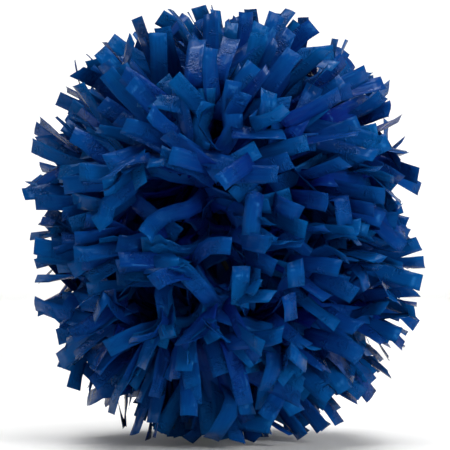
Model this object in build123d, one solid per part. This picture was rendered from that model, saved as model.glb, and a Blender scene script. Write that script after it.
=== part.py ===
"""Cheer pom pom with a baton handle: two tufts of fringed film bound to the hubs at the ends of one grip.

The handle stands upright along Z. Each tuft is made of gathered film sheets. A sheet's uncut header lies
against the neck of a hub, held by a cable tie, and its strands fan out over the end cap to fill a
round-shouldered half of the ball. The strands are soft, so each sheet is a plain closed wedge here: the
space that its strands fill. Millimetres, +Z up, origin on the floor under the middle of the handle.
"""

from build123d import *
import os

# Driving dimensions of the ball of strands.
half_width = 150.0  # from the handle's axis to the strand tips at the side
crown_height = 166.0  # from the middle of the handle to the top
fullness = 0.62  # shape of the shoulder: 0.552 is a plain ellipse, more is squarer
floor_press = 6.0  # how much the standing ball is pressed flat at its foot
waist_rim = 22.0  # from the middle plane to a tuft's underside at its rim
waist_root = 50.0  # the same, next to the cable tie, so that a hand has room on the grip
sheets_per_tuft = 12
wedge_angle = 24.0  # of each sheet's 30 degrees; the rest is the cleft between two sheets
tip_gap = 0.6  # the wedges stand this far off the axis, so that their tips stay apart

# Grip tube.
grip_length = 100.0
grip_radius = 12.0
grip_bore_radius = 9.5
groove_count = 9
groove_width = 3.0
groove_depth = 0.6

# Hub: plug in the tube, thumb flange, neck that the sheets are bound to.
fit_gap = 0.05
plug_length = 18.0
flange_radius = 21.0
flange_thickness = 3.0
neck_radius = 6.0
neck_length = 14.0
pilot_radius = 1.55
pilot_depth = 16.0

# End cap and the screw that holds it.
cap_radius = 11.0
cap_thickness = 3.0
cap_hole_radius = 2.1
screw_head_radius = 3.8
screw_head_height = 2.6
screw_shank_radius = 1.5
screw_shank_length = 17.0
recess_length = 4.6
recess_width = 0.9
recess_depth = 1.4

# Header of a sheet, and the cable tie round all the headers of a tuft.
header_outer_radius = 15.0
running_gap = 0.5  # from a header to the flange below it and the cap above it
strap_width = 4.8
strap_thickness = 1.3
strap_gap = 0.1
lock_size = (7.0, 8.0, 6.6)  # radial, tangential, along the handle
lock_angle = 15.0  # the locking head sits at a cleft between two sheets
tail_length = 4.0
tie_room = 26.0  # radius kept free for the tie's head and tail

# Heights above the middle of the handle.
neck_base = grip_length / 2 + flange_thickness
neck_top = neck_base + neck_length
cap_top = neck_top + cap_thickness
header_base = neck_base + running_gap
header_top = neck_top - running_gap
strap_middle = (header_base + header_top) / 2
centre_height = crown_height - floor_press


def tube(outer, inner, length):
    """Round tube standing on the XY plane."""
    wall = Cylinder(outer, length, align=(Align.CENTER, Align.CENTER, Align.MIN))
    return wall - Cylinder(inner, length, align=(Align.CENTER, Align.CENTER, Align.MIN))


def rod(radius, length):
    """Round rod standing on the XY plane."""
    return Cylinder(radius, length, align=(Align.CENTER, Align.CENTER, Align.MIN))


def grip_tube():
    """The moulded grip, with shallow rings turned into it where the fingers close."""
    body = Pos(0, 0, -grip_length / 2) * tube(grip_radius, grip_bore_radius, grip_length)
    pitch = grip_length / (groove_count + 1)
    for i in range(groove_count):
        height = -grip_length / 2 + pitch * (i + 1) - groove_width / 2
        ring = tube(grip_radius + 1, grip_radius - groove_depth, groove_width)
        body -= Pos(0, 0, height) * ring
    return body


def hub():
    """Plug, thumb flange and neck in one moulding, with a pilot hole for the cap's screw."""
    plug = Pos(0, 0, grip_length / 2 - plug_length) * rod(grip_bore_radius - fit_gap, plug_length)
    flange = rod(flange_radius, flange_thickness)
    flange = Pos(0, 0, grip_length / 2) * fillet(flange.edges().filter_by(GeomType.CIRCLE), 1.0)
    neck = Pos(0, 0, neck_base) * rod(neck_radius, neck_length)
    pilot = Pos(0, 0, neck_top - pilot_depth) * rod(pilot_radius, pilot_depth)
    return plug + flange + neck - pilot


def end_cap():
    """Disc that keeps the headers on the neck, rounded where the strands bend over it."""
    disc = rod(cap_radius, cap_thickness)
    disc = fillet(disc.edges().filter_by(GeomType.CIRCLE).sort_by(Axis.Z)[-1], 1.5)
    return Pos(0, 0, neck_top) * (disc - rod(cap_hole_radius, cap_thickness))


def cap_screw():
    """Pan-head self-tapping screw with a cross recess, its thread left out."""
    head = rod(screw_head_radius, screw_head_height)
    head = fillet(head.edges().filter_by(GeomType.CIRCLE).sort_by(Axis.Z)[-1], 1.0)
    bar = Box(recess_length, recess_width, recess_depth, align=(Align.CENTER, Align.CENTER, Align.MAX))
    cross = Pos(0, 0, screw_head_height) * (bar + Rot(0, 0, 90) * bar)
    shank = rod(screw_shank_radius, screw_shank_length)
    shank = chamfer(shank.edges().filter_by(GeomType.CIRCLE).sort_by(Axis.Z)[0], 0.9)
    return Pos(0, 0, cap_top) * (head - cross + Pos(0, 0, -screw_shank_length) * shank)


def cable_tie():
    """Nylon strap round the headers, with its locking head and the cut end of its tail."""
    inner = header_outer_radius + tip_gap + strap_gap
    outer = inner + strap_thickness
    strap = Pos(0, 0, -strap_width / 2) * tube(outer, inner, strap_width)
    radial, tangential, along = lock_size
    lock = Box(radial, tangential, along, align=(Align.MIN, Align.CENTER, Align.CENTER))
    lock = fillet(lock.edges(), 0.8)
    tail = Box(strap_thickness, tail_length, strap_width, align=(Align.CENTER, Align.MIN, Align.CENTER))
    lock += Pos(radial / 2, tangential / 2, 0) * tail
    return Pos(0, 0, strap_middle) * (strap + Rot(0, 0, lock_angle) * Pos(inner + 0.2, 0, 0) * lock)


def tuft_profile():
    """Half section of a tuft in the XZ plane: the ball's shoulder, the waist, and the header."""
    shoulder = Bezier(
        (0, crown_height),
        (fullness * half_width, crown_height),
        (half_width, fullness * crown_height),
        (half_width, 0),
    )
    quarter = make_face(shoulder + Polyline((half_width, 0), (0, 0), (0, crown_height)))
    below_waist = make_face(
        Polyline(
            (0, header_top),
            (tie_room, header_top),
            (tie_room, waist_root),
            (half_width, waist_rim),
            (half_width, 0),
            (0, 0),
            close=True,
        )
    )
    cap_room = Pos(0, header_top) * Rectangle(
        cap_radius + running_gap,
        cap_top + screw_head_height + 1.0 - header_top,
        align=(Align.MIN, Align.MIN),
    )
    header = Pos(neck_radius, header_base) * Rectangle(
        header_outer_radius - neck_radius,
        header_top - header_base + 0.01,
        align=(Align.MIN, Align.MIN),
    )
    link = Pos(cap_radius + running_gap, header_top) * Rectangle(
        header_outer_radius - cap_radius - running_gap, 0.01, align=(Align.MIN, Align.MIN)
    )
    return quarter - below_waist - cap_room + header + link


def fringe_sheet(number):
    """One gathered sheet of film: its header, and the wedge that its strands fill."""
    wedge = revolve(Plane.XZ * tuft_profile(), Axis.Z, wedge_angle)
    wedge = Rot(0, 0, -wedge_angle / 2) * wedge
    return Rot(0, 0, number * 360 / sheets_per_tuft) * Pos(tip_gap, 0, 0) * wedge


def upper(shape):
    """Places a piece made about the middle of the handle at the handle's upper end."""
    return Pos(0, 0, centre_height) * shape


def lower(shape):
    """Places the same piece at the lower end: turned over about the middle of the handle."""
    return Pos(0, 0, centre_height) * Rot(180, 0, 0) * shape


def above_floor(shape):
    """Presses a piece flat where it would reach below the floor."""
    slab = Box(4 * half_width, 4 * half_width, 100, align=(Align.CENTER, Align.CENTER, Align.MAX))
    return shape - slab


def write(name, shape):
    """Writes one node."""
    export_step(shape, f"parts/{name}.step")


os.makedirs("parts", exist_ok=True)
write("grip_tube", upper(grip_tube()))
for end, place in (("upper", upper), ("lower", lower)):
    write(f"{end}_hub", place(hub()))
    write(f"{end}_end_cap", place(end_cap()))
    write(f"{end}_cap_screw", place(cap_screw()))
    write(f"{end}_cable_tie", place(cable_tie()))
    for sheet in range(sheets_per_tuft):
        write(f"{end}_fringe_{sheet + 1:02d}", above_floor(place(fringe_sheet(sheet))))
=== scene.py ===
"""Looks of a cheer pom pom with a baton handle: film strands, the dressed handle, the floor and the light.

The strands are worked out as chains of equal links. Each chain leaves its sheet's header at the neck of a
hub, and ends at a place of its own on the ball's surface. It is relaxed between the two as a springy film
strip would lie, and then swept into a ribbon. All lengths are in metres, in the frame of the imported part.
"""

import logging
import math
from dataclasses import dataclass, field
from enum import Enum
from typing import Any

import bpy
import numpy as np
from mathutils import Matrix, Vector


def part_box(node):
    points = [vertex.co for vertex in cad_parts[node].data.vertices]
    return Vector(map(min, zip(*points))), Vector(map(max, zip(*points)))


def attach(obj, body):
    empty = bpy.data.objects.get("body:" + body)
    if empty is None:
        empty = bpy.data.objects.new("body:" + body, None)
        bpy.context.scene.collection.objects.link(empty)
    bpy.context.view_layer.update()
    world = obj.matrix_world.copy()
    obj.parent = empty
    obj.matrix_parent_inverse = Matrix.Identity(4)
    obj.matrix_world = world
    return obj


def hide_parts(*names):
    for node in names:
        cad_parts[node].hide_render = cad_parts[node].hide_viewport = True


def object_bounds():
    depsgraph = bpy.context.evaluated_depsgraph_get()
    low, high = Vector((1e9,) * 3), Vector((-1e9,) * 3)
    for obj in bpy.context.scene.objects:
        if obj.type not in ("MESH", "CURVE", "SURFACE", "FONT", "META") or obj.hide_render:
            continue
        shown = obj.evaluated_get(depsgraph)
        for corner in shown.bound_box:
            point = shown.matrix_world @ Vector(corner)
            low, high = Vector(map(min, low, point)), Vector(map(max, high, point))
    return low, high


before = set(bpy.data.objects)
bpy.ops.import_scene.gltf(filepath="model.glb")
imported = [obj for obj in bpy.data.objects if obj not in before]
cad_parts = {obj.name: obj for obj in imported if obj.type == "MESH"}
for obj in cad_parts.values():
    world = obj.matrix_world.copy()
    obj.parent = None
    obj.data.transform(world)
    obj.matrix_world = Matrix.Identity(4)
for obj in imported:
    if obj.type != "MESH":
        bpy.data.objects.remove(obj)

LOG = logging.getLogger("pom_pom")
MM = 0.001
CAD_LOW, CAD_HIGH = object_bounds()
GRIP_LOW, GRIP_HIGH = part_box("grip_tube")
MIDDLE = np.array((0.0, 0.0, (GRIP_LOW.z + GRIP_HIGH.z) / 2))


class End(Enum):
    """The two ends of the handle, with the way each one points along Z."""

    UPPER = 1
    LOWER = -1


def linear(hex_colour: str) -> tuple[float, float, float, float]:
    """Turns an sRGB hex colour into linear red, green, blue and an alpha of 1.

    Args:
        hex_colour: six hex digits, with or without a leading hash.

    Returns:
        The colour as Blender's sockets take it.
    """
    text = hex_colour.lstrip("#")
    srgb = [int(text[i:i + 2], 16) / 255 for i in (0, 2, 4)]
    red, green, blue = [c / 12.92 if c <= 0.04045 else ((c + 0.055) / 1.055) ** 2.4 for c in srgb]
    return red, green, blue, 1.0


def unit(vectors: np.ndarray) -> np.ndarray:
    """Scales each vector on the last axis to length 1."""
    length = np.linalg.norm(vectors, axis=-1, keepdims=True)
    return vectors / np.maximum(length, 1e-9)


def add_node(tree: bpy.types.NodeTree, kind: str, links: dict[str | int, Any] | None = None,
             **settings: Any) -> Any:
    """Adds one shader node with its settings and its inputs.

    Args:
        tree: the node tree of the material or world.
        kind: the node's type, such as ShaderNodeBsdfPrincipled.
        links: input name or number to an output socket, which is linked, or a value, which is set.
        settings: properties of the node itself.

    Returns:
        The new node.
    """
    node = tree.nodes.new(kind)
    for name, value in settings.items():
        setattr(node, name, value)
    for name, value in (links or {}).items():
        if isinstance(value, bpy.types.NodeSocket):
            tree.links.new(value, node.inputs[name])
        else:
            node.inputs[name].default_value = value
    return node


def new_material(name: str) -> tuple[bpy.types.Material, bpy.types.NodeTree]:
    """Makes an empty node material and returns it with its tree."""
    material = bpy.data.materials.new(name)
    material.use_nodes = True
    material.node_tree.nodes.clear()
    return material, material.node_tree


def dress(piece: bpy.types.Object, material: bpy.types.Material) -> None:
    """Gives a piece one material in place of those that it has."""
    piece.data.materials.clear()
    piece.data.materials.append(material)


@dataclass(frozen=True)
class SlitFilm:
    """Blown polyethylene film, dyed in the mass, slit into strands and crumpled by hand.

    The film is thin, so light comes through it, and its skin has a soft satin shine that breaks up over
    fine creases along the strand and over the dents that fluffing leaves. The patterns' sizes are across
    the strand and along it.
    """

    # Painted light: lit is the film's blue as it looks in light, shade its blue as it looks in shade.
    lit: str = "02447e"
    shade: str = "06085a"
    glow: str = "062a8a"
    shine_tint: str = "3aa0e6"
    roughness: float = 0.22
    see_through: float = 0.08
    draw_line_mm: tuple[float, float] = (1.6, 26.0)
    dent_mm: tuple[float, float] = (6.0, 13.2)
    crinkle_mm: tuple[float, float] = (5.0, 3.0)
    crinkle_patch_mm: float = 16.0

    def material(self) -> bpy.types.Material:
        """Builds the film's material.

        The colour runs between a painted shaded blue and a painted lit blue: from strand to strand at random,
        from root to tip, which paints shade towards the roots and light on the tips, and along faint draw
        lines.
        Dents are large flat facets from a cell pattern. Crinkles are sharp creases, where a noise crosses its
        middle value, and come in patches. All of them read the strand's own UV map, in metres, so they follow
        it.

        Returns:
            The node material.
        """
        material, tree = new_material("slit_film")
        flat = add_node(tree, "ShaderNodeUVMap", uv_map="strand").outputs["UV"]
        lines = add_node(tree, "ShaderNodeMapping", {"Vector": flat, "Scale": (
            1 / (self.draw_line_mm[0] * MM), 1 / (self.draw_line_mm[1] * MM), 1)})
        line = add_node(tree, "ShaderNodeTexNoise", {
            "Vector": lines.outputs["Vector"], "Scale": 1.0, "Detail": 2.0, "Roughness": 0.5})
        dents = add_node(tree, "ShaderNodeMapping", {"Vector": flat, "Rotation": (0, 0, 0.6), "Scale": (
            1 / (self.dent_mm[0] * MM), 1 / (self.dent_mm[1] * MM), 1)})
        dent = add_node(tree, "ShaderNodeTexVoronoi", {
            "Vector": dents.outputs["Vector"], "Scale": 1.0, "Detail": 1.0, "Roughness": 0.6})
        patch = add_node(tree, "ShaderNodeTexNoise", {
            "Vector": flat, "Scale": 1 / (self.crinkle_patch_mm * MM), "Detail": 1.0})
        creased = add_node(tree, "ShaderNodeMapRange", {
            "Value": patch.outputs["Fac"], "From Min": 0.49, "From Max": 0.64})
        crinkles = add_node(tree, "ShaderNodeMapping", {"Vector": flat, "Rotation": (0, 0, 0.35), "Scale": (
            1 / (self.crinkle_mm[0] * MM), 1 / (self.crinkle_mm[1] * MM), 1)})
        crinkle = add_node(tree, "ShaderNodeTexNoise", {
            "Vector": crinkles.outputs["Vector"], "Scale": 1.0, "Detail": 3.0, "Distortion": 0.6})
        centred = add_node(tree, "ShaderNodeMath", {0: crinkle.outputs["Fac"], 1: 0.5}, operation="SUBTRACT")
        crease = add_node(tree, "ShaderNodeMath", {0: centred.outputs[0]}, operation="ABSOLUTE")
        height = add_node(tree, "ShaderNodeMath", {
            0: crease.outputs[0], 1: creased.outputs["Result"]}, operation="MULTIPLY")
        tone = add_node(tree, "ShaderNodeAttribute", attribute_name="tone")
        streak = add_node(tree, "ShaderNodeMath", {
            0: line.outputs["Fac"], 1: 0.4, 2: tone.outputs["Fac"]}, operation="MULTIPLY_ADD")
        share = add_node(tree, "ShaderNodeMapRange", {
            "Value": streak.outputs[0], "From Min": 0.33, "From Max": 1.22})
        # Painted light: the colour mixes the painted shaded blue and the painted lit blue by the tone and the
        # draw lines.
        colour = add_node(tree, "ShaderNodeMix", {
            "Factor": share.outputs["Result"], 6: linear(self.shade), 7: linear(self.lit)}, data_type="RGBA")
        faint = add_node(tree, "ShaderNodeBump", {
            "Height": line.outputs["Fac"], "Strength": 0.25, "Distance": 0.5 * MM})
        facets = add_node(tree, "ShaderNodeBump", {
            "Height": dent.outputs["Distance"], "Strength": 0.28, "Distance": 1.4 * MM,
            "Normal": faint.outputs["Normal"]})
        bump = add_node(tree, "ShaderNodeBump", {
            "Height": height.outputs[0], "Strength": 1.0, "Distance": 4.6 * MM,
            "Normal": facets.outputs["Normal"]})
        skin = add_node(tree, "ShaderNodeBsdfPrincipled", {
            "Base Color": colour.outputs[2], "Roughness": self.roughness, "IOR": 1.36,
            "Specular IOR Level": 0.3, "Specular Tint": linear(self.shine_tint),
            "Normal": bump.outputs["Normal"]})
        through = add_node(tree, "ShaderNodeBsdfTranslucent", {
            "Color": linear(self.glow), "Normal": bump.outputs["Normal"]})
        film = add_node(tree, "ShaderNodeMixShader", {
            0: self.see_through, 1: skin.outputs["BSDF"], 2: through.outputs["BSDF"]})
        add_node(tree, "ShaderNodeOutputMaterial", {"Surface": film.outputs["Shader"]})
        return material


@dataclass(frozen=True)
class MouldedPlastic:
    """Injection-moulded plastic: an even colour with the fine grain of the mould and a soft gloss."""

    name: str
    colour: str
    roughness: float
    grain_mm: float = 0.9
    wear_mm: float = 18.0

    def material(self) -> bpy.types.Material:
        """Builds the plastic: noise of the mould's grain size drives the bump and a slight roughness change.

        Returns:
            The node material.
        """
        material, tree = new_material(self.name)
        place = add_node(tree, "ShaderNodeTexCoord")
        grain = add_node(tree, "ShaderNodeTexNoise", {
            "Vector": place.outputs["Object"], "Scale": 1 / (self.grain_mm * MM), "Detail": 2.0})
        worn = add_node(tree, "ShaderNodeTexNoise", {
            "Vector": place.outputs["Object"], "Scale": 1 / (self.wear_mm * MM), "Detail": 3.0})
        rough = add_node(tree, "ShaderNodeMapRange", {
            "Value": worn.outputs["Fac"], "To Min": self.roughness - 0.08, "To Max": self.roughness + 0.1})
        bump = add_node(tree, "ShaderNodeBump", {
            "Height": grain.outputs["Fac"], "Strength": 0.35, "Distance": 0.12 * MM})
        skin = add_node(tree, "ShaderNodeBsdfPrincipled", {
            "Base Color": linear(self.colour), "Roughness": rough.outputs["Result"], "IOR": 1.5,
            "Normal": bump.outputs["Normal"]})
        add_node(tree, "ShaderNodeOutputMaterial", {"Surface": skin.outputs["BSDF"]})
        return material


@dataclass(frozen=True)
class ZincPlate:
    """Bright zinc plating on a rolled steel screw: a pale metal with slight cloudiness."""

    colour: str = "c9cac6"
    roughness: float = 0.3
    cloud_mm: float = 1.5

    def material(self) -> bpy.types.Material:
        """Builds the plating: cloudy noise of a millimetre or two moves its roughness.

        Returns:
            The node material.
        """
        material, tree = new_material("zinc_plate")
        place = add_node(tree, "ShaderNodeTexCoord")
        cloud = add_node(tree, "ShaderNodeTexNoise", {
            "Vector": place.outputs["Object"], "Scale": 1 / (self.cloud_mm * MM), "Detail": 4.0})
        rough = add_node(tree, "ShaderNodeMapRange", {
            "Value": cloud.outputs["Fac"], "To Min": self.roughness - 0.1, "To Max": self.roughness + 0.15})
        skin = add_node(tree, "ShaderNodeBsdfPrincipled", {
            "Base Color": linear(self.colour), "Metallic": 1.0, "Roughness": rough.outputs["Result"]})
        add_node(tree, "ShaderNodeOutputMaterial", {"Surface": skin.outputs["BSDF"]})
        return material


@dataclass
class Ball:
    """The round-shouldered ball that the strand tips end on: a superellipse turned about the handle.

    A point lies on it where (r / half_width)^power + (|z| / half_height)^power = 1, with r its distance
    from the handle's axis and z its height above the middle of the handle. The tufts meet at the height
    waist, and each one's tips are spread from its pole to its own divide, so that the two mingle a little.
    """

    half_width: float = 0.1535
    half_height: float = 0.166
    power: float = 2.3
    waist: float = -0.011
    divide: dict[End, float] = field(default_factory=lambda: {End.UPPER: -0.026, End.LOWER: 0.004})
    profile_points: int = 721

    def radius_at(self, height: np.ndarray) -> np.ndarray:
        """Gives the distance from the axis to the surface at each height above the middle."""
        along = np.clip(np.abs(height) / self.half_height, 0, 1)
        return self.half_width * (1 - along ** self.power) ** (1 / self.power)

    def share(self, points: np.ndarray) -> np.ndarray:
        """Gives how far out each point is: 0 at the middle, 1 on the ball's surface.

        Args:
            points: places from the middle of the handle, on the last axis.

        Returns:
            One number a point.
        """
        across = np.hypot(points[..., 0], points[..., 1]) / self.half_width
        along = np.abs(points[..., 2]) / self.half_height
        return (across ** self.power + along ** self.power) ** (1 / self.power)

    def spread(self, end: End, share: np.ndarray) -> tuple[np.ndarray, np.ndarray]:
        """Finds places on one tuft's part of the surface, even by area from its pole to the divide.

        The profile is sampled by angle, and the area of each band, which is its length times its distance
        from the axis, is added up from the pole.

        Args:
            end: which tuft.
            share: 0 at the pole to 1 at the divide.

        Returns:
            The distance from the axis and the height above the middle, for each share.
        """
        angle = np.linspace(0, math.pi, self.profile_points)
        radius = self.half_width * np.abs(np.sin(angle)) ** (2 / self.power)
        height = self.half_height * np.sign(np.cos(angle)) * np.abs(np.cos(angle)) ** (2 / self.power)
        height = height * end.value
        keep = height * end.value >= self.divide[end] * end.value
        radius, height = radius[keep], height[keep]
        bands = np.hypot(np.diff(radius), np.diff(height)) * (radius[1:] + radius[:-1]) / 2
        area = np.concatenate(([0.0], np.cumsum(bands)))
        area /= area[-1]
        return np.interp(share, area, radius), np.interp(share, area, height)


@dataclass(frozen=True)
class Spot:
    """A place on the ball: a bearing from the front in degrees, positive to the right, and a height.

    The height is in millimetres above the middle of the handle, and pull is how strongly it acts.
    """

    bearing: float
    height: float
    pull: float = 1.0


@dataclass(frozen=True)
class LaidStrand:
    """A strand whose end lies across the front of the ball, where it can be seen from base to tip.

    Both places are millimetres to the right of the handle's axis and above its middle. How deep it lies
    follows from its length.
    """

    base: tuple[float, float]
    tip: tuple[float, float]


@dataclass
class Grooming:
    """How the strands lie after fluffing: where they part, where hollows open and which way they lean.

    Strands lean away from the partings, as hair does from a crown, and keep clear of the hollows. Lengths
    are in metres and angles in degrees.
    """

    partings: tuple[Spot, ...]
    hollows: tuple[Spot, ...]
    laid: tuple[LaidStrand, ...]
    ball: Ball
    # How strongly the partings, the slow wave, gravity and chance turn a strand.
    parting_reach: float = 0.095
    parting_strength: float = 2.0
    wave: float = 0.30
    wave_size: float = 0.05
    sag: float = 0.16
    unevenness: float = 0.46
    stray_share: float = 0.2
    stray: float = 1.1
    # How far it leans from the radial direction.
    lean_at_parting: float = 62.0
    lean_elsewhere: float = 16.0
    lean_spread: float = 12.0
    stray_lean: float = 16.0
    lean_limits: tuple[float, float] = (2.0, 78.0)
    # A hollow's radius, its depth, and how much of each axis its line keeps on the way in.
    hollow_reach: float = 0.030
    hollow_depth: float = 0.12
    hollow_slant: tuple[float, float, float] = (0.35, 1.0, 0.4)
    # Laid strands: the millimetres of height that part the tufts, and the room kept in front of a run.
    laid_divide: float = -14.0
    clearance: float = 0.0125
    front_margin: float = 0.004
    run_shares: tuple[float, ...] = (0.1, 0.37, 0.63, 0.9)

    def points(self, spots: tuple[Spot, ...]) -> np.ndarray:
        """Gives spots as points on the ball's surface, from the middle of the handle."""
        bearing = np.radians([spot.bearing for spot in spots])
        height = np.array([spot.height for spot in spots]) * MM
        radius = self.ball.radius_at(height)
        return np.stack((radius * np.sin(bearing), -radius * np.cos(bearing), height), -1)

    def away(self, spots: tuple[Spot, ...], tips: np.ndarray) -> tuple[np.ndarray, np.ndarray]:
        """Gives the direction from each spot to each tip, and the distance."""
        gap = tips[:, None] - self.points(spots)[None]
        distance = np.linalg.norm(gap, axis=-1, keepdims=True)
        return gap / np.maximum(distance, 1e-6), distance

    def lean(self, tips: np.ndarray, rng: np.random.Generator) -> tuple[np.ndarray, np.ndarray]:
        """Works out which way and how far each strand leans.

        The way is the sum of the directions away from the partings, each weighted by its pull over one plus
        the square of the distance. To it come a slow wave over the ball, which turns neighbours together, a
        sag, and a random part that is small for most strands and large for the stray ones. The angle is
        largest beside a parting and falls off in a bell curve.

        Args:
            tips: the strand tips, from the middle of the handle.
            rng: the source of the random part.

        Returns:
            One vector a strand, not of unit length, and one angle from the radial direction in radians.
        """
        direction, distance = self.away(self.partings, tips)
        pull = np.array([spot.pull for spot in self.partings])[None, :, None]
        lean = (direction * pull / (1 + (distance / self.parting_reach) ** 2)).sum(1) * self.parting_strength
        # The factors and phases only keep the wave's three parts out of step.
        swell = tips / self.wave_size
        lean += self.wave * np.stack((
            np.sin(swell[:, 1] + 1.3 * swell[:, 2]),
            np.sin(swell[:, 2] - 0.8 * swell[:, 0] + 2.0),
            np.sin(swell[:, 0] + 1.1 * swell[:, 1] + 4.0),
        ), -1)
        lean[:, 2] -= self.sag
        astray = rng.random(len(tips)) < self.stray_share
        lean += rng.normal(0, 1, lean.shape) * np.where(astray, self.stray, self.unevenness)[:, None]
        near = np.exp(-((distance.min(1)[:, 0] / self.parting_reach) ** 2))
        angle = self.lean_elsewhere + (self.lean_at_parting - self.lean_elsewhere) * near
        angle = angle + rng.normal(0, self.lean_spread, len(tips)) + np.where(astray, self.stray_lean, 0.0)
        return lean, np.radians(np.clip(angle, *self.lean_limits))

    def front(self, place: tuple[float, float]) -> np.ndarray:
        """Gives the point of the ball's front surface at a place."""
        right, height = place[0] * MM, place[1] * MM
        radius = float(self.ball.radius_at(np.array(height)))
        return np.array((right, -math.sqrt(max(radius ** 2 - right ** 2, 0.0)), height))

    def lay(self, end: End, strands: "StrandSet") -> None:
        """Gives each laid strand of one tuft to the planned strand whose tip is nearest.

        Args:
            end: the tuft. A laid strand belongs to the upper one if its base is above laid_divide.
            strands: the planned strands, of which some get a new tip, aim and length of run.
        """
        for laid in self.laid:
            if (laid.base[1] > self.laid_divide) != (end is End.UPPER):
                continue
            base, tip = self.front(laid.base), self.front(laid.tip)
            gap = np.where(strands.laid, math.inf, np.linalg.norm(strands.tip - tip, axis=-1))
            chosen = int(gap.argmin())
            strands.tip[chosen] = tip
            strands.aim[chosen] = unit(tip - base)
            strands.run[chosen] = np.linalg.norm(tip - base)
            strands.outward[chosen] = (0, -1, 0)
            strands.laid[chosen] = True

    def uncover(self, joints: np.ndarray, strands: "StrandSet") -> np.ndarray:
        """Gives how far joints move in one round so that nothing hangs in front of a laid strand.

        Spots along each laid run push the joints that are in front of them, or less than front_margin
        behind, sideways by what these lack of the clearance.

        Args:
            joints: the joints of the other strands, (strand, joint, xyz).
            strands: all the strands of the tuft.

        Returns:
            The moves, in the shape of joints.
        """
        move = np.zeros_like(joints)
        laid = strands.laid
        run = strands.aim[laid] * strands.run[laid, None]
        for share in self.run_shares:
            spot = strands.tip[laid] - run * share
            off = joints[:, :, None] - spot
            ahead = off[..., 1] < self.front_margin
            off[..., 1] = 0
            distance = np.linalg.norm(off, axis=-1)
            push = np.maximum(self.clearance - distance, 0) * ahead
            move += (off * (push / np.maximum(distance, 1e-5))[..., None]).sum(2)
        return move

    def clear(self, joints: np.ndarray) -> np.ndarray:
        """Gives how far each joint moves in one round to leave the hollows open.

        A hollow is a pit that runs in towards the handle, more to the back or front than sideways. Its
        radius shrinks with the square root of the depth that is left. The push is square to its line.

        Args:
            joints: the chains' joints, (strand, joint, xyz), from the middle of the handle.

        Returns:
            The moves, in the same shape.
        """
        move = np.zeros_like(joints)
        for mouth, spot in zip(self.points(self.hollows), self.hollows):
            inward = -unit(mouth * np.array(self.hollow_slant))
            depth = (joints - mouth) @ inward
            off = joints - mouth - depth[..., None] * inward
            distance = np.linalg.norm(off, axis=-1)
            taper = np.sqrt(np.clip(1 - depth / self.hollow_depth, 0, 1)) * self.hollow_reach * spot.pull
            push = np.maximum(taper - distance, 0)
            move += unit(off) * push[..., None]
        return move


# The seed of each tuft's random parts.
SEEDS = {End.UPPER: 11, End.LOWER: 23}

# Where fluffing parts the strands: one strong parting a tuft in front and behind, weak ones at the sides.
PARTINGS = (
    Spot(-3, 58, 1.3), Spot(-12, -50, 1.3), Spot(172, 56), Spot(-176, -54),
    Spot(98, 62, 0.25), Spot(-104, -60, 0.25),
)

# Where gaps open between the strands: two long ones in front, out of overlapping hollows, then single ones.
HOLLOWS = (
    Spot(-22, 27), Spot(-12, 22), Spot(-12, 0), Spot(-3, 6, 0.8), Spot(-29, 8, 0.8),
    Spot(-2, -36, 0.9), Spot(-13, -58, 0.9), Spot(-25, -62, 0.8), Spot(-3, 78, 0.5), Spot(28, -12, 0.4),
    Spot(70, 20, 0.5), Spot(150, 0, 0.8), Spot(-150, -20, 0.8), Spot(-95, 10, 0.6), Spot(100, -30, 0.6),
)

# The strands that can be seen whole across the front, each listed: its base, then its tip.
LAID = tuple(LaidStrand(base, tip) for base, tip in (
    ((2, 67), (43, 66)), ((-6, 105), (5, 137)), ((30, 72), (31, 97)), ((47, 65), (65, 102)),
    ((72, 77), (104, 92)), ((37, 50), (4, 20)), ((27, 25), (78, 52)), ((64, 37), (100, 33)),
    ((21, 26), (18, -6)), ((30, 18), (56, 9)), ((81, 27), (85, 3)), ((96, -14), (135, -3)),
    ((64, -2), (98, -32)), ((97, -18), (102, -43)), ((38, 0), (68, -29)), ((49, -20), (50, -44)),
    ((45, -44), (46, -66)), ((60, -59), (108, -64)), ((49, -70), (103, -81)), ((43, -82), (58, -97)),
    ((73, -85), (96, -110)), ((-13, -57), (34, -74)), ((12, -26), (10, -56)), ((-72, 24), (-32, -6)),
    ((-33, -3), (-13, -52)), ((-22, -38), (-70, -33)), ((-84, -25), (-115, 7)), ((-84, 14), (-110, 20)),
    ((-68, 60), (-58, 27)), ((-50, 58), (-49, 40)), ((-10, 70), (-66, 79)), ((-20, 87), (-63, 91)),
    ((-52, 62), (-106, 55)), ((-19, -80), (-5, -135)), ((-23, 103), (-20, 134)), ((-75, -76), (-117, -63)),
    ((-83, -46), (-94, -64)), ((40, -86), (28, -115)),
))


@dataclass
class StrandSet:
    """The strands of one tuft, one row of every array a strand.

    A strand leaves its root in the direction leave, and its last run is straight, along aim, up to its tip.
    """

    root: np.ndarray
    leave: np.ndarray
    tip: np.ndarray
    aim: np.ndarray
    outward: np.ndarray
    run: np.ndarray
    laid: np.ndarray
    chain: np.ndarray = field(default_factory=lambda: np.zeros((0, 0, 3)))


@dataclass(frozen=True)
class Ripple:
    """A small wave along a ribbon: its height, its run over 2 pi, and its radians from edge to edge."""

    height: float
    run: float
    skew: float


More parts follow.
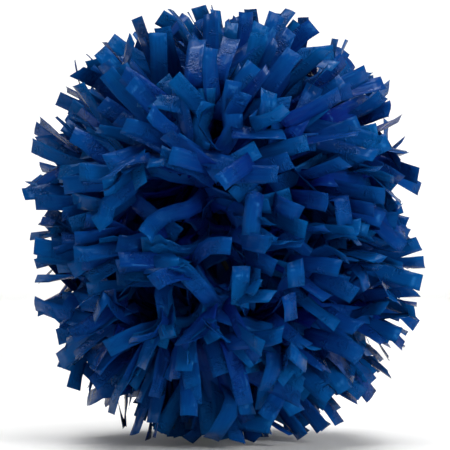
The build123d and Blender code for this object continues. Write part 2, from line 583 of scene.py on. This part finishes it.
@dataclass(frozen=True)
class RibbonShape:
    """How a chain becomes a ribbon.

    Lengths are in metres, angles in radians, and shares run from 0 at the root to 1 at the tip. A field
    whose name ends in spread is the standard deviation of a random part.
    """

    # How the width turns from the header's line to its own, calmer in a laid strand.
    turned_at: float = 0.35
    turn_power: float = 1.5
    first_bend_weight: float = 0.1
    bend_spread: float = 0.02
    roll_spread: float = 0.25
    twist_spread: float = 0.6
    laid_calm: float = 0.25
    # The gather at the root, which fades in a bell curve, and the cup of the rest.
    fold_share: float = 0.16
    fold_narrowing: float = 0.7
    fold_cup_spread: float = 0.25
    cup_spread: float = 0.05
    # Ripples in height, and a drift from side to side.
    ripples: tuple[Ripple, ...] = (Ripple(0.0005, 0.0066, 3.0), Ripple(0.0003, 0.0031, -6.0))
    drift: Ripple = Ripple(0.0004, 0.009, 0.0)
    # The slant of the cut at the tip, as a share of the width.
    slant_spread: float = 0.05
    # The tone, which mixes the painted shaded blue and the painted lit blue: a random part, a rise towards
    # the tip that paints light on the tips and shade towards the roots, and the header's own.
    tone_base: float = -0.03
    tone_range: float = 0.4
    painted_light_rise: float = 0.6
    painted_light_power: float = 2.5
    header_tone: float = 0.3
    # Each strand reads the patterns from its own place, up to this far off.
    pattern_offset: float = 3.0


@dataclass
class Tuft:
    """One tuft: the gathered sheets of film at one end of the handle, and their strands.

    A sheet's header, the web between its two slit margins, is pleated: one V a strand, with its point
    towards the neck. The strands of both margins start from the edges of these pleats. Lengths are in
    metres, and heights are above the middle of the handle on the tuft's own side.
    """

    end: End
    ball: Ball
    grooming: Grooming
    seed: int
    shape: RibbonShape = RibbonShape()
    # The sheets, and how finely a strand is cut into faces.
    sheets: int = 12
    strands_per_margin: int = 22
    strand_length: float = 0.1524
    strand_width: float = 0.0127
    film_thickness: float = 0.000085
    links: int = 16
    columns: int = 4
    # The pleated header round the neck.
    pleat_inner: float = 0.0078
    pleat_outer: float = 0.0141
    header_half: float = 0.0062
    header_height: float = 0.060
    header_fill: float = 0.94
    # How the tips are spread in a sheet's sector, and how far out they reach.
    strides: tuple[float, float] = (0.7549, 0.5698)
    start_stride: float = 7.3
    sector_overlap: float = 1.3
    full_reach: float = 1.02
    reach_spread: float = 0.09
    # How strands leave the header, for the margin at the cap and the one at the flange. Outward is seen
    # from fan_height of the header's height, and the straight runs are random shares of straight_run.
    leave_rise: tuple[float, float] = (0.9, -0.14)
    fan_height: float = 0.6
    straight_run: float = 0.058
    least_run: float = 0.6
    run_spread: float = 0.7
    # The most that a tip is drawn in, and the share of a strand's length that may be pulled straight.
    most_drawn: float = 0.1
    halvings: int = 10
    taut: float = 0.98
    # Relaxation: how far the first guess follows its leave, how strong each pull is in one round, and
    # which joints and strands make way for the laid ones: those past uncover_from and front_from.
    rounds: int = 90
    first_curve: float = 0.06
    spring: float = 0.45
    droop: float = 0.00015
    hold: float = 0.4
    hollow_push: float = 0.8
    tip_push: float = 0.3
    tip_follow: float = 0.5
    uncover_every: int = 3
    uncover_from: int = 6
    front_from: float = -0.03
    # Room that the chains keep: a distance from the axis and the height that it counts to.
    cap_room: float = 0.0155
    cap_top: float = 0.0755
    flange_room: float = 0.026
    flange_top: float = 0.0568
    hand_room: float = 0.030
    hand_top: float = 0.043
    floor_gap: float = 0.004
    waist_cross: float = 0.016

    def plan(self) -> StrandSet:
        """Chooses where every strand starts and ends.

        Tips are spread evenly over the tuft's part of the ball. In each sheet's sector they follow a
        sequence of two irrational strides, which leaves no rows. The strands of the margin that faces the
        cap take the half of them that is nearer the pole.

        Returns:
            The strands, not yet relaxed.
        """
        rng = np.random.default_rng(self.seed)
        each = 2 * self.strands_per_margin
        count = self.sheets * each
        number = np.arange(count)
        sheet, place = number // each, number % each
        stride = rng.random(self.sheets)[sheet]
        share = ((place * self.strides[0] + stride) % 1).reshape(self.sheets, each)
        share = np.sort(share, 1).ravel()
        wedge = 2 * math.pi / self.sheets
        turn = (place * self.strides[1] + stride * self.start_stride) % 1 - 0.5
        bearing = sheet * wedge + turn * wedge * self.sector_overlap
        radius, height = self.ball.spread(self.end, share)
        tip = np.stack((radius * np.cos(bearing), radius * np.sin(bearing), height), -1)

        outer = place < self.strands_per_margin
        side = np.where(outer, 1.0, -1.0) * self.end.value
        sector = self.sectors()[sheet, place % self.strands_per_margin]
        around = np.stack((np.cos(sector), np.sin(sector), np.zeros(count)), -1)
        up = np.zeros((count, 3))
        up[:, 2] = 1
        neck = np.array((0, 0, self.end.value * self.header_height))
        middle = (self.pleat_inner + self.pleat_outer) / 2
        root = neck + around * middle + up * (side * self.header_half)[:, None]
        leave = unit(around + up * (side * np.where(outer, *self.leave_rise))[:, None])

        lean, angle = self.grooming.lean(tip, rng)
        outward = unit(tip - neck * self.fan_height)
        sideways = unit(lean - outward * np.sum(lean * outward, -1, keepdims=True))
        aim = outward * np.cos(angle)[:, None] + sideways * np.sin(angle)[:, None]
        reach = self.full_reach - np.abs(rng.normal(0, self.reach_spread, count))
        run = self.straight_run * (self.least_run + self.run_spread * rng.random(count))
        strands = StrandSet(root, leave, tip * reach[:, None], aim, outward, run, np.zeros(count, bool))
        self.grooming.lay(self.end, strands)
        self.draw_in(strands)
        return strands

    def sectors(self) -> np.ndarray:
        """Gives the bearing of each pleat in radians, (sheet, pleat)."""
        wedge = 2 * math.pi / self.sheets
        pitch = (np.arange(self.strands_per_margin) + 0.5) / self.strands_per_margin - 0.5
        return np.arange(self.sheets)[:, None] * wedge + pitch * wedge * self.header_fill

    def draw_in(self, strands: StrandSet) -> None:
        """Draws each tip in towards the handle until its strand is long enough for it.

        The way from the root to the start of the straight run, with the run, may be the taut share of the
        strand's length. The least move that gives this is found by halving.

        Args:
            strands: the planned strands, whose tips move.
        """
        low, high = np.zeros(len(strands.run)), np.full(len(strands.run), self.most_drawn)
        for _ in range(self.halvings):
            move = (low + high) / 2
            base = strands.tip - strands.outward * move[:, None] - strands.aim * strands.run[:, None]
            way = np.linalg.norm(base - strands.root, axis=-1) + strands.run
            fits = way <= self.strand_length * self.taut
            low, high = np.where(fits, low, move), np.where(fits, move, high)
        strands.tip -= strands.outward * high[:, None]

    def relax(self, strands: StrandSet) -> None:
        """Lets every chain settle between its root and its tip.

        The first guess is a cubic curve, with s from 0 at the root to 1 at the tip. Each round draws every
        joint towards the middle of its neighbours, which is what the film's spring does, lets it droop and
        pulls the last joints to the straight run. It pushes joints out of the hollows, from in front of the
        laid strands, into the ball and off the handle. Then it restores the link lengths, walking once from
        the tip inwards and once from the root outwards.

        Args:
            strands: the planned strands, whose chains are filled in.
        """
        link = self.strand_length / self.links
        s = np.linspace(0, 1, self.links + 1)[None, :, None]
        first = strands.root[:, None]
        second = first + strands.leave[:, None] * self.first_curve
        third = strands.tip[:, None] - (strands.aim * strands.run[:, None])[:, None]
        last = strands.tip[:, None]
        chain = (1 - s) ** 3 * first + 3 * (1 - s) ** 2 * s * second
        chain = chain + 3 * (1 - s) * s ** 2 * third + s ** 3 * last
        back = np.arange(self.links, -1, -1)[None, :, None] * link
        hold = self.hold * (back <= strands.run[:, None, None])
        free = (~strands.laid)[:, None, None]
        front = np.flatnonzero(~strands.laid & (strands.tip[:, 1] < self.front_from))
        for turn in range(self.rounds):
            strands.tip += self.tip_push * free[:, 0] * self.grooming.clear(strands.tip[:, None])[:, 0]
            middle = (chain[:, :-2] + chain[:, 2:]) / 2
            chain[:, 1:-1] += self.spring * (middle - chain[:, 1:-1])
            chain[:, 2:, 2] -= self.droop
            chain += hold * (strands.tip[:, None] - strands.aim[:, None] * back - chain)
            chain[:, 3:] += self.hollow_push * free * self.grooming.clear(chain[:, 3:])
            if turn % self.uncover_every == 0:
                move = self.grooming.uncover(chain[front, self.uncover_from:], strands)
                chain[front, self.uncover_from:] += move
                strands.tip[front] += self.tip_follow * move[:, -1]
            self.keep_clear(chain, strands.laid)
            chain[:, 0] = strands.root
            chain[:, 1] = strands.root + strands.leave * link
            for j in range(self.links - 1, 1, -1):
                chain[:, j] = chain[:, j + 1] + unit(chain[:, j] - chain[:, j + 1]) * link
            for j in range(2, self.links + 1):
                chain[:, j] = chain[:, j - 1] + unit(chain[:, j] - chain[:, j - 1]) * link
        strands.chain = chain

    def keep_clear(self, chain: np.ndarray, laid: np.ndarray) -> None:
        """Keeps joints inside the ball, above the floor, near their own side of the waist and off the handle.

        Only laid strands may cross the waist by more than waist_cross, so that one tuft turns past the
        other with less contact.

        Args:
            chain: the chains' joints, from the middle of the handle, moved in place.
            laid: which strands are laid.
        """
        end = self.end.value
        stop = self.ball.waist * end - self.waist_cross
        free = ~laid[:, None]
        chain[..., 2] = np.where(free, np.maximum(chain[..., 2] * end, stop) * end, chain[..., 2])
        chain /= np.maximum(self.ball.share(chain), 1.0)[..., None]
        chain[..., 2] = np.maximum(chain[..., 2], -MIDDLE[2] + self.floor_gap)
        across = np.hypot(chain[..., 0], chain[..., 1])
        along = chain[..., 2] * end
        by_cap = (along > self.header_height) & (along < self.cap_top) & (across < self.cap_room)
        chain[..., :2] *= np.where(by_cap, self.cap_room / np.maximum(across, 1e-4), 1)[..., None]
        for room, stop in ((self.hand_room, self.hand_top), (self.flange_room, self.flange_top)):
            chain[..., 2] = np.where((across < room) & (along < stop), end * stop, chain[..., 2])

    def ribbons(self, strands: StrandSet) -> tuple[np.ndarray, np.ndarray, np.ndarray]:
        """Sweeps every chain into a ribbon.

        A ribbon's width starts along the header and turns to lie square to the plane that its chain bends
        in, as a springy strip's does, with a roll and a twist of its own. Across its width it is cupped,
        narrowed and folded at the root, and rippled by waves that run along it.

        Args:
            strands: the relaxed strands.

        Returns:
            Places (strand, row, column, xyz), the surface coordinates in metres, and the tone of each place.
        """
        rng = np.random.default_rng(self.seed + 1)
        shape, chain = self.shape, strands.chain
        count, rows = chain.shape[:2]
        along = unit(np.gradient(chain, axis=1))
        bend = np.cross(along[:, :-1], along[:, 1:])
        weight = np.linspace(shape.first_bend_weight, 1.0, rows - 1)[None, :, None]
        natural = unit((bend * weight).sum(1) + rng.normal(0, shape.bend_spread, (count, 3)))
        start = unit(np.cross((0, 0, 1), strands.root))
        natural *= np.where(np.sum(natural * start, -1, keepdims=True) < 0, -1, 1)
        s = np.linspace(0, 1, rows)[None, :]
        turned = np.clip(s / shape.turned_at, 0, 1)[..., None] ** shape.turn_power
        width = start[:, None] * (1 - turned) + natural[:, None] * turned
        width = unit(width - along * np.sum(width * along, -1, keepdims=True))
        normal = np.cross(along, width)
        calm = np.where(strands.laid, shape.laid_calm, 1.0)[:, None]
        roll = rng.normal(0, shape.roll_spread, (count, 1)) * turned[..., 0]
        roll = (roll + rng.normal(0, shape.twist_spread, (count, 1)) * s) * calm
        cos, sin = np.cos(roll)[..., None], np.sin(roll)[..., None]
        width, normal = width * cos + normal * sin, normal * cos - width * sin

        across = np.linspace(-0.5, 0.5, self.columns + 1)[None, None, :]
        length = s[..., None] * self.strand_length
        fold = np.exp(-(s / shape.fold_share) ** 2)[..., None]
        narrow = 1 - shape.fold_narrowing * fold
        cup = rng.normal(0.0, shape.cup_spread, (count, 1, 1))
        cup = cup + shape.fold_cup_spread * rng.normal(0, 1, (count, 1, 1)) * fold
        lift = cup * self.strand_width * (1 - 4 * across ** 2)
        # One phase for each ripple and one for the drift; the last one is spare.
        phase = rng.random((4, count, 1, 1)) * 2 * math.pi
        for ripple, first in zip(shape.ripples, phase):
            lift = lift + ripple.height * np.sin(length / ripple.run + first + ripple.skew * across)
        drift = shape.drift.height * np.sin(length / shape.drift.run + phase[2])
        offset = across * self.strand_width * narrow + drift
        places = chain[:, :, None] + width[:, :, None] * offset[..., None]
        places = places + normal[:, :, None] * lift[..., None]
        slant = rng.normal(0, shape.slant_spread, (count, 1)) * self.strand_width
        cut = slant * (across[0] * 2)
        places[:, -1] += along[:, -1, None] * cut[..., None]
        places[..., 2] = np.maximum(places[..., 2], -MIDDLE[2] + self.film_thickness)
        surface = np.stack(np.broadcast_arrays(across * self.strand_width, length), -1)
        surface = surface + rng.random((count, 1, 1, 2)) * shape.pattern_offset
        # Painted light: the tone rises towards the tip, so the roots take the painted shaded blue and the
        # tips the painted lit blue.
        rise = shape.painted_light_rise * s[..., None] ** shape.painted_light_power
        tone = shape.tone_range * rng.random((count, 1, 1)) + rise + shape.tone_base
        return places + MIDDLE, surface, np.broadcast_to(tone, places.shape[:3])

    def header(self, sheet: int) -> np.ndarray:
        """Works out the pleated web of one sheet.

        Across the web, each strand's width is a V: the distance from the axis is pleat_outer at both edges
        of the strand and pleat_inner at its middle, while the bearing runs on evenly.

        Args:
            sheet: the sheet's number.

        Returns:
            Places (edge, column, xyz): the edge that faces the cap first, then the other.
        """
        steps = self.strands_per_margin * self.columns
        share = np.arange(steps + 1) / self.columns
        valley = 1 - np.abs(2 * (share % 1) - 1)
        radius = self.pleat_outer - (self.pleat_outer - self.pleat_inner) * valley
        wedge = 2 * math.pi / self.sheets
        bearing = sheet * wedge + (share / self.strands_per_margin - 0.5) * wedge * self.header_fill
        flat = np.stack((radius * np.cos(bearing), radius * np.sin(bearing), np.zeros(steps + 1)), -1)
        lift = np.zeros((2, 1, 3))
        lift[:, 0, 2] = self.end.value * (self.header_height + self.header_half * np.array((1, -1)))
        return flat + lift + MIDDLE

    def sheet_grid(self, sheet: int, places: np.ndarray, surface: np.ndarray,
                   tone: np.ndarray) -> tuple[np.ndarray, np.ndarray, np.ndarray, np.ndarray]:
        """Joins the strands of one sheet to its header.

        The first row of each strand is the stretch of the header's edge that belongs to it, so those
        vertices are shared. The strands of the second margin are turned over, so that all faces of the
        sheet look the same way.

        Args:
            sheet: the sheet's number.
            places: (strand, row, column, xyz).
            surface: (strand, row, column, 2).
            tone: (strand, row, column).

        Returns:
            Vertices, quads, surface coordinates and tones of the whole sheet.
        """
        web = self.header(sheet)
        edge = np.arange(web.shape[0] * web.shape[1]).reshape(web.shape[:2])
        count, rows, columns = places.shape[:3]
        index = np.zeros((count, rows, columns), int)
        index[:, 1:] = edge.size + np.arange(count * (rows - 1) * columns).reshape(count, rows - 1, columns)
        margin = self.strands_per_margin
        first = np.arange(margin)[:, None] * self.columns + np.arange(columns)
        index[:margin, 0] = edge[0][first]
        index[margin:, 0] = edge[1][first]
        outer, inner = grid_quads(index[:margin]), grid_quads(index[margin:])[:, ::-1]
        quads = np.concatenate((grid_quads(edge[::-1]), outer, inner))
        if self.end is End.LOWER:
            quads = quads[:, ::-1]
        flat = np.zeros((edge.size, 2))
        flat[:, 0] = np.tile(np.arange(web.shape[1]), 2) * self.strand_width / self.columns
        flat[:, 1] = np.repeat((0.0, -2 * self.header_half), web.shape[1])
        return (
            np.concatenate((web.reshape(-1, 3), places[:, 1:].reshape(-1, 3))),
            quads,
            np.concatenate((flat, surface[:, 1:].reshape(-1, 2))),
            np.concatenate((np.full(edge.size, self.shape.header_tone), tone[:, 1:].ravel())),
        )

    def build(self, film: bpy.types.Material) -> list[bpy.types.Object]:
        """Makes the tuft's sheets as pieces that ride on its body and replace its fringe nodes.

        Args:
            film: the material of the strands.

        Returns:
            The pieces.
        """
        strands = self.plan()
        self.relax(strands)
        places, surface, tone = self.ribbons(strands)
        each = 2 * self.strands_per_margin
        name = self.end.name.lower()
        made = []
        for sheet in range(self.sheets):
            pick = slice(sheet * each, (sheet + 1) * each)
            grid = self.sheet_grid(sheet, places[pick], surface[pick], tone[pick])
            piece = film_mesh(f"{name}_fringe_sheet_{sheet + 1:02d}", *grid)
            wall = piece.modifiers.new("film", "SOLIDIFY")
            wall.thickness = self.film_thickness
            wall.offset = 0
            dress(piece, film)
            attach(piece, f"{name}_tuft")
            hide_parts(f"{name}_fringe_{sheet + 1:02d}")
            made.append(piece)
        return made


def film_mesh(name: str, places: np.ndarray, quads: np.ndarray, surface: np.ndarray,
              tone: np.ndarray) -> bpy.types.Object:
    """Makes a mesh object of quads, with its place on the flat film as a UV map and its tone.

    Args:
        name: the object's name.
        places: (vertex, xyz).
        quads: (face, 4), vertex numbers.
        surface: (vertex, 2), the place on the flat film in metres.
        tone: one number a vertex.

    Returns:
        The object, linked to the scene.
    """
    mesh = bpy.data.meshes.new(name)
    mesh.from_pydata(places.tolist(), [], quads.tolist())
    layer = mesh.uv_layers.new(name="strand")
    layer.data.foreach_set("uv", surface[quads.ravel()].astype(np.float32).ravel())
    shade = mesh.attributes.new("tone", "FLOAT", "POINT")
    shade.data.foreach_set("value", tone.astype(np.float32))
    mesh.polygons.foreach_set("use_smooth", np.ones(len(quads), bool))
    mesh.update()
    piece = bpy.data.objects.new(name, mesh)
    bpy.context.scene.collection.objects.link(piece)
    return piece


def grid_quads(index: np.ndarray) -> np.ndarray:
    """Gives the quads of grids of vertex numbers (..., row, column), each as row by row corners."""
    corners = (index[..., :-1, :-1], index[..., :-1, 1:], index[..., 1:, 1:], index[..., 1:, :-1])
    return np.stack(corners, -1).reshape(-1, 4)


@dataclass
class Baton:
    """The handle: its CAD pieces, dressed in their finishes."""

    grip: MouldedPlastic = MouldedPlastic("matte_polypropylene", "0a0c18", 0.55)
    hub: MouldedPlastic = MouldedPlastic("satin_abs", "0a0c18", 0.38)
    tie: MouldedPlastic = MouldedPlastic("moulded_nylon", "0e1018", 0.45, 0.6)
    screw: ZincPlate = ZincPlate()

    def build(self) -> list[bpy.types.Object]:
        """Dresses every CAD piece of the handle and the two cable ties.

        Returns:
            The dressed pieces.
        """
        finishes = {
            "grip_tube": self.grip.material(),
            "hub": self.hub.material(),
            "cable_tie": self.tie.material(),
            "cap_screw": self.screw.material(),
        }
        finishes["end_cap"] = finishes["hub"]
        made = []
        for node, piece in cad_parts.items():
            for ending, material in finishes.items():
                if node.endswith(ending):
                    dress(piece, material)
                    made.append(piece)
        return made


@dataclass(frozen=True)
class Lamp:
    """A square soft light: where it hangs, the point that it faces, its side and its power in watts."""

    place: tuple[float, float, float]
    toward: tuple[float, float, float]
    side: float
    watts: float


@dataclass
class Studio:
    """A pale floor that rises to a low rim all round, soft lights and the camera.

    The key and the fill light the ball. A lamp of each ring hangs on every side and lights the floor and
    its rim, so that the ground behind the ball stays pale from every side.
    """

    floor_colour: str = "f4f4f3"
    floor_half: float = 6.0
    floor_points: int = 97
    floor_drop: float = 0.0005
    flat_radius: float = 3.4
    rim_height: float = 1.6
    rim_rise: float = 1.2
    key: Lamp = Lamp((2.2, -2.2, 1.2), tuple(MIDDLE), 1.2, 72.0)
    fill: Lamp = Lamp((-1.3, -1.2, 0.5), tuple(MIDDLE), 1.1, 1.0)
    rim_ring: Lamp = Lamp((1.9, 1.9, 1.6), (4.2, 4.2, 0.4), 1.4, 45.0)
    near_ring: Lamp = Lamp((0.6, 0.6, 1.4), (1.9, 1.9, 0.0), 1.0, 16.0)
    world_strength: float = 0.12
    lens: float = 180.0
    sensor_width: float = 36.0
    view_height: float = 0.338
    camera_drop: float = 0.001

    def build(self) -> None:
        """Makes the floor, the lights, the world and the camera."""
        self.floor()
        self.light("key", self.key)
        self.light("fill", self.fill)
        for number, (right, back) in enumerate(((0, 1), (1, 0), (0, -1), (-1, 0)), 1):
            self.light(f"rim_{number}", self.rim_ring, (right, back, 1))
            self.light(f"near_{number}", self.near_ring, (right, back, 1))
        world = bpy.data.worlds.new("studio")
        bpy.context.scene.world = world
        world.use_nodes = True
        world.node_tree.nodes.clear()
        back = add_node(world.node_tree, "ShaderNodeBackground", {
            "Color": linear("ffffff"), "Strength": self.world_strength})
        add_node(world.node_tree, "ShaderNodeOutputWorld", {"Surface": back.outputs["Background"]})
        bpy.context.scene.view_settings.view_transform = "Standard"
        self.camera()

    def floor(self) -> None:
        """Makes the floor: flat near the ball, then rim_rise (r - flat_radius)^2 high, up to rim_height."""
        line = np.linspace(-self.floor_half, self.floor_half, self.floor_points)
        x, y = np.meshgrid(line, line)
        past = np.maximum(np.hypot(x, y) - self.flat_radius, 0)
        height = np.minimum(self.rim_rise * past ** 2, self.rim_height) - self.floor_drop
        places = np.stack((x, y, height), -1)
        quads = grid_quads(np.arange(x.size).reshape(x.shape))
        places = places.reshape(-1, 3)
        piece = film_mesh("floor", places, quads, places[:, :2], np.zeros(len(places)))
        material, tree = new_material("painted_floor")
        skin = add_node(tree, "ShaderNodeBsdfPrincipled", {
            "Base Color": linear(self.floor_colour), "Roughness": 0.9, "Specular IOR Level": 0.1})
        add_node(tree, "ShaderNodeOutputMaterial", {"Surface": skin.outputs["BSDF"]})
        dress(piece, material)

    def light(self, name: str, lamp: Lamp, way: tuple[float, float, float] = (1, 1, 1)) -> None:
        """Makes one square soft light.

        Args:
            name: the light's name.
            lamp: the light's facts.
            way: what its two places are multiplied by, which turns a ring's lamp to one side.
        """
        area = bpy.data.lights.new(name, "AREA")
        area.size = lamp.side
        area.energy = lamp.watts
        piece = bpy.data.objects.new(name, area)
        place = np.array(lamp.place) * np.array(way)
        piece.location = place
        away = place - np.array(lamp.toward) * np.array(way)
        tilt = math.atan2(math.hypot(away[0], away[1]), away[2])
        piece.rotation_euler = (tilt, 0, math.atan2(away[0], -away[1]))
        bpy.context.scene.collection.objects.link(piece)

    def camera(self) -> None:
        """Makes the camera: level, and as far in front as makes view_height fill the frame at the axis."""
        lens = bpy.data.cameras.new("camera")
        lens.lens = self.lens
        lens.sensor_width = self.sensor_width
        piece = bpy.data.objects.new("camera", lens)
        distance = self.view_height / 2 / (lens.sensor_width / 2 / self.lens)
        height = (CAD_LOW.z + CAD_HIGH.z) / 2 - self.camera_drop
        piece.location = (0.0, -distance, height)
        piece.rotation_euler = (math.pi / 2, 0, 0)
        bpy.context.scene.collection.objects.link(piece)
        bpy.context.scene.camera = piece


def main() -> None:
    """Builds the studio, dresses the handle and makes both tufts, and logs each piece."""
    logging.basicConfig(level=logging.INFO, format="%(name)s: %(message)s")
    Studio().build()
    for piece in Baton().build():
        LOG.info("dressed %s", piece.name)
    film = SlitFilm().material()
    ball = Ball()
    grooming = Grooming(PARTINGS, HOLLOWS, LAID, ball)
    for end, seed in SEEDS.items():
        for piece in Tuft(end, ball, grooming, seed).build(film):
            LOG.info("made %s with %d faces", piece.name, len(piece.data.polygons))


if __name__ == "__main__":
    main()
